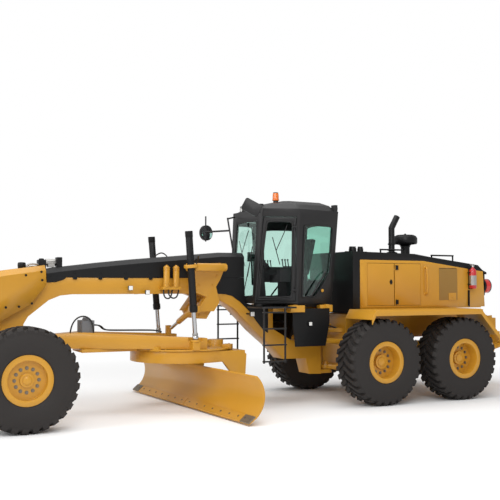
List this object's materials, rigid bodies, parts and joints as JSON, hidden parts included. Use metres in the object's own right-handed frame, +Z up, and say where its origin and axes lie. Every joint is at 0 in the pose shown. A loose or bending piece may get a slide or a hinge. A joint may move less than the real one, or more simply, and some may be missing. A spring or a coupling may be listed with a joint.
{
  "type": "motor grader",
  "caption": "Articulated motor grader with a curved blade under its gooseneck frame, tandem drive wheels, a glazed cab and a rear ripper",
  "frame": {"origin": "on the ground, at the middle of the machine's length and width", "axes": "+X forward along the machine, +Y to the operator's left, +Z up"},
  "size_m": [11.51, 4.8858, 3.948],
  "materials": {
    "yellow_paint": "gloss yellow machine paint",
    "rim_paint": "gloss yellow machine paint",
    "tyre": "matt black tread rubber",
    "black_paint": "satin black paint",
    "worn_steel": "yellow paint, dulled by earth",
    "rod_chrome": "hard chrome",
    "engine_iron": "grey cast iron",
    "cab_glass": "green tinted safety glass",
    "cab_plastic": "dark grey grained plastic and cloth"
  },
  "bodies": {
    "root": {"rear_frame": "yellow_paint", "tandem_axle": "yellow_paint", "fenders": "yellow_paint", "engine_block": "engine_iron", "hood_frame": "yellow_paint", "hood_top": "black_paint"},
    "front": {"front_frame": "yellow_paint", "frame_cover": "black_paint", "nose_cover": "yellow_paint", "cab_shell": "black_paint", "cab_glass": "cab_glass", "cab_interior": "cab_plastic", "mirrors": "black_paint", "ladders": "black_paint", "front_axle": "yellow_paint", "saddle": "yellow_paint"},
    "ripper_lower": {"ripper_lower_link": "yellow_paint"},
    "ripper_upper": {"ripper_upper_link": "yellow_paint"},
    "ripper_carriage": {"ripper_beam": "yellow_paint"},
    "ripper_barrel_pair": {"ripper_barrels": "black_paint"},
    "ripper_rod_pair": {"ripper_rods": "rod_chrome"},
    "steering_rod": {"tie_rod": "yellow_paint"},
    "lean_link": {"lean_bar": "yellow_paint"},
    "ball": {"drawbar_ball": "yellow_paint"},
    "drawbar_frame": {"drawbar": "yellow_paint"},
    "circle_ring": {"circle": "yellow_paint"},
    "blade_carrier": {"blade_bracket": "yellow_paint"},
    "blade": {"moldboard": "worn_steel"},
    "shift_barrel": {"centreshift_barrel": "yellow_paint"},
    "shift_rod": {"centreshift_rod": "rod_chrome"},
    "articulation_barrel_left": {"articulation_barrel_left": "yellow_paint"},
    "articulation_rod_left": {"articulation_rod_left": "rod_chrome"},
    "articulation_barrel_right": {"articulation_barrel_right": "yellow_paint"},
    "articulation_rod_right": {"articulation_rod_right": "rod_chrome"},
    "engine_door_front_left": {"engine_door_front_left": "yellow_paint"},
    "engine_door_rear_left": {"engine_door_rear_left": "yellow_paint"},
    "engine_door_front_right": {"engine_door_front_right": "yellow_paint"},
    "engine_door_rear_right": {"engine_door_rear_right": "yellow_paint"},
    "wheel_mid_left": {"tyre_mid_left": "tyre", "rim_mid_left": "rim_paint"},
    "wheel_mid_right": {"tyre_mid_right": "tyre", "rim_mid_right": "rim_paint"},
    "wheel_rear_left": {"tyre_rear_left": "tyre", "rim_rear_left": "rim_paint"},
    "wheel_rear_right": {"tyre_rear_right": "tyre", "rim_rear_right": "rim_paint"},
    "cab_door_left": {"cab_door_left": "black_paint"},
    "cab_door_right": {"cab_door_right": "black_paint"},
    "yoke_left": {"lean_yoke_left": "yellow_paint"},
    "knuckle_left": {"knuckle_left": "yellow_paint"},
    "wheel_front_left": {"tyre_front_left": "tyre", "rim_front_left": "rim_paint"},
    "yoke_right": {"lean_yoke_right": "yellow_paint"},
    "knuckle_right": {"knuckle_right": "yellow_paint"},
    "wheel_front_right": {"tyre_front_right": "tyre", "rim_front_right": "rim_paint"},
    "lift_barrel_left": {"lift_barrel_left": "black_paint"},
    "lift_rod_left": {"lift_rod_left": "rod_chrome"},
    "lift_barrel_right": {"lift_barrel_right": "black_paint"},
    "lift_rod_right": {"lift_rod_right": "rod_chrome"}
  },
  "joints": [
    {"name": "articulation", "type": "hinge", "parent": "root", "child": "front", "pos_m": [-1.2, 0, 0.96], "axis": [0, 0, 1], "range_deg": [-20, 20]},
    {"name": "articulation_barrel_swing_left", "type": "hinge", "parent": "front", "child": "articulation_barrel_left", "pos_m": [-0.72, 0.43, 1.15], "axis": [0, 0, 1], "range_deg": [-13, 13]},
    {"name": "articulation_rod_slide_left", "type": "slide", "parent": "articulation_barrel_left", "child": "articulation_rod_left", "axis": [-0.9838, 0.1656, -0.0682], "range_m": [-0.19, 0.19]},
    {"name": "articulation_barrel_swing_right", "type": "hinge", "parent": "front", "child": "articulation_barrel_right", "pos_m": [-0.72, -0.43, 1.15], "axis": [0, 0, 1], "range_deg": [-13, 13]},
    {"name": "articulation_rod_slide_right", "type": "slide", "parent": "articulation_barrel_right", "child": "articulation_rod_right", "axis": [-0.9838, -0.1656, -0.0682], "range_m": [-0.19, 0.19]},
    {"name": "engine_door_front_left_hinge", "type": "hinge", "parent": "root", "child": "engine_door_front_left", "pos_m": [-1.671, 0.806, 2.2], "axis": [0, 0, -1], "range_deg": [0, 100]},
    {"name": "engine_door_rear_left_hinge", "type": "hinge", "parent": "root", "child": "engine_door_rear_left", "pos_m": [-2.321, 0.806, 2.2], "axis": [0, 0, -1], "range_deg": [0, 100]},
    {"name": "engine_door_front_right_hinge", "type": "hinge", "parent": "root", "child": "engine_door_front_right", "pos_m": [-1.671, -0.806, 2.2], "axis": [0, 0, 1], "range_deg": [0, 100]},
    {"name": "engine_door_rear_right_hinge", "type": "hinge", "parent": "root", "child": "engine_door_rear_right", "pos_m": [-2.321, -0.806, 2.2], "axis": [0, 0, 1], "range_deg": [0, 100]},
    {"name": "wheel_mid_left_spin", "type": "hinge", "parent": "root", "child": "wheel_mid_left", "pos_m": [-1.5245, 1.3515, 0.79], "axis": [0, 1, 0], "continuous": true},
    {"name": "wheel_mid_right_spin", "type": "hinge", "parent": "root", "child": "wheel_mid_right", "pos_m": [-1.5245, -1.3515, 0.79], "axis": [0, 1, 0], "continuous": true},
    {"name": "wheel_rear_left_spin", "type": "hinge", "parent": "root", "child": "wheel_rear_left", "pos_m": [-3.3655, 1.3515, 0.79], "axis": [0, 1, 0], "continuous": true},
    {"name": "wheel_rear_right_spin", "type": "hinge", "parent": "root", "child": "wheel_rear_right", "pos_m": [-3.3655, -1.3515, 0.79], "axis": [0, 1, 0], "continuous": true},
    {"name": "ripper_lift", "type": "hinge", "parent": "root", "child": "ripper_lower", "pos_m": [-4.72, 0, 0.76], "axis": [0, 1, 0], "range_deg": [-52, 22]},
    {"name": "ripper_upper_swing", "type": "hinge", "parent": "root", "child": "ripper_upper", "pos_m": [-4.72, 0, 1.31], "axis": [0, 1, 0], "range_deg": [-52, 22]},
    {"name": "ripper_carriage_level", "type": "hinge", "parent": "ripper_lower", "child": "ripper_carriage", "pos_m": [-5.41, 0, 0.93], "axis": [0, 1, 0], "range_deg": [-22, 52]},
    {"name": "ripper_barrel_swing", "type": "hinge", "parent": "root", "child": "ripper_barrel_pair", "pos_m": [-4.68, 0, 1.56], "axis": [0, 1, 0], "range_deg": [-30, 30]},
    {"name": "ripper_rod_slide", "type": "slide", "parent": "ripper_barrel_pair", "child": "ripper_rod_pair", "axis": [-0.621, 0, -0.7838], "range_m": [-0.25, 0.4]},
    {"name": "cab_door_left_hinge", "type": "hinge", "parent": "front", "child": "cab_door_left", "pos_m": [-0.09134, 0.79444, 1.86], "axis": [0, 0.0384, 0.9993], "range_deg": [0, 85]},
    {"name": "cab_door_right_hinge", "type": "hinge", "parent": "front", "child": "cab_door_right", "pos_m": [-0.09134, -0.79444, 1.86], "axis": [0, 0.0384, -0.9993], "range_deg": [0, 85]},
    {"name": "lean_left", "type": "hinge", "parent": "front", "child": "yoke_left", "pos_m": [4.92, 0.8, 0.64], "axis": [1, 0, 0], "range_deg": [-18, 18]},
    {"name": "steer_left", "type": "hinge", "parent": "yoke_left", "child": "knuckle_left", "pos_m": [4.92, 0.985, 0.79], "axis": [0, 0, 1], "range_deg": [-47.5, 47.5]},
    {"name": "wheel_front_left_spin", "type": "hinge", "parent": "knuckle_left", "child": "wheel_front_left", "pos_m": [4.92, 1.3515, 0.79], "axis": [0, 1, 0], "continuous": true},
    {"name": "lean_right", "type": "hinge", "parent": "front", "child": "yoke_right", "pos_m": [4.92, -0.8, 0.64], "axis": [1, 0, 0], "range_deg": [-18, 18]},
    {"name": "steer_right", "type": "hinge", "parent": "yoke_right", "child": "knuckle_right", "pos_m": [4.92, -0.985, 0.79], "axis": [0, 0, 1], "range_deg": [-47.5, 47.5]},
    {"name": "wheel_front_right_spin", "type": "hinge", "parent": "knuckle_right", "child": "wheel_front_right", "pos_m": [4.92, -1.3515, 0.79], "axis": [0, 1, 0], "continuous": true},
    {"name": "lean_link_slide", "type": "slide", "parent": "front", "child": "lean_link", "axis": [0, 1, 0], "range_m": [-0.12, 0.12]},
    {"name": "tie_rod_slide", "type": "slide", "parent": "front", "child": "steering_rod", "axis": [0, 1, 0], "range_m": [-0.18, 0.18]},
    {"name": "drawbar_lift", "type": "hinge", "parent": "front", "child": "ball", "pos_m": [4.64, 0, 1.25], "axis": [0, 1, 0], "range_deg": [-9.6, 8.1]},
    {"name": "drawbar_swing", "type": "hinge", "parent": "ball", "child": "drawbar_frame", "pos_m": [4.64, 0, 1.25], "axis": [0, 0, 1], "range_deg": [-6.2, 6.2]},
    {"name": "circle_turn", "type": "hinge", "parent": "drawbar_frame", "child": "circle_ring", "pos_m": [1.87, 0, 0.96], "axis": [0, 0, 1], "continuous": true},
    {"name": "blade_tip", "type": "hinge", "parent": "circle_ring", "child": "blade_carrier", "pos_m": [1.47055, -0.02093, 0.235], "axis": [-0.0523, 0.9986, 0], "range_deg": [-5, 40]},
    {"name": "blade_shift", "type": "slide", "parent": "blade_carrier", "child": "blade", "axis": [0.0523, -0.9986, 0], "range_m": [-0.79, 0.74]},
    {"name": "lift_barrel_swing_left", "type": "hinge", "parent": "front", "child": "lift_barrel_left", "pos_m": [2.05981, 0.92312, 2.52275], "axis": [1, 0, 0], "range_deg": [-15, 15]},
    {"name": "lift_rod_slide_left", "type": "slide", "parent": "lift_barrel_left", "child": "lift_rod_left", "axis": [0.0781, 0.0197, 0.9968], "range_m": [-0.49, 0.42]},
    {"name": "lift_barrel_swing_right", "type": "hinge", "parent": "front", "child": "lift_barrel_right", "pos_m": [2.05981, -0.92312, 2.52275], "axis": [1, 0, 0], "range_deg": [-15, 15]},
    {"name": "lift_rod_slide_right", "type": "slide", "parent": "lift_barrel_right", "child": "lift_rod_right", "axis": [0.0781, -0.0197, 0.9968], "range_m": [-0.49, 0.42]},
    {"name": "centreshift_barrel_swing", "type": "hinge", "parent": "front", "child": "shift_barrel", "pos_m": [1.79, 0.4, 1.78], "axis": [-0.997, -0.0775, 0], "range_deg": [-30, 30]},
    {"name": "centreshift_rod_slide", "type": "slide", "parent": "shift_barrel", "child": "shift_rod", "axis": [0.0715, -0.9189, -0.388], "range_m": [-0.31, 0.31]}
  ],
  "couplings": [
    {"joint": "articulation_barrel_swing_left", "follows": "articulation", "ratio": -0.61194},
    {"joint": "articulation_rod_slide_left", "follows": "articulation", "m_per_rad": -0.49955},
    {"joint": "articulation_barrel_swing_right", "follows": "articulation", "ratio": -0.61194},
    {"joint": "articulation_rod_slide_right", "follows": "articulation", "m_per_rad": 0.49955},
    {"joint": "ripper_upper_swing", "follows": "ripper_lift", "ratio": 1},
    {"joint": "ripper_carriage_level", "follows": "ripper_lift", "ratio": -1},
    {"joint": "ripper_barrel_swing", "follows": "ripper_lift", "ratio": 0.27901},
    {"joint": "ripper_rod_slide", "follows": "ripper_lift", "m_per_rad": -0.40602},
    {"joint": "lean_right", "follows": "lean_left", "ratio": 1},
    {"joint": "steer_right", "follows": "steer_left", "ratio": 1},
    {"joint": "lean_link_slide", "follows": "lean_left", "m_per_rad": -0.33443},
    {"joint": "tie_rod_slide", "follows": "steer_left", "m_per_rad": -0.19565},
    {"joint": "lift_barrel_swing_left", "follows": "drawbar_swing", "ratio": -2.1885},
    {"joint": "lift_rod_slide_left", "follows": "drawbar_lift", "m_per_rad": 2.6626},
    {"joint": "lift_barrel_swing_right", "follows": "drawbar_swing", "ratio": -2.1885},
    {"joint": "lift_rod_slide_right", "follows": "drawbar_lift", "m_per_rad": 2.6626},
    {"joint": "centreshift_barrel_swing", "follows": "drawbar_lift", "ratio": 2.4748},
    {"joint": "centreshift_rod_slide", "follows": "drawbar_swing", "m_per_rad": 2.5622}
  ]
}
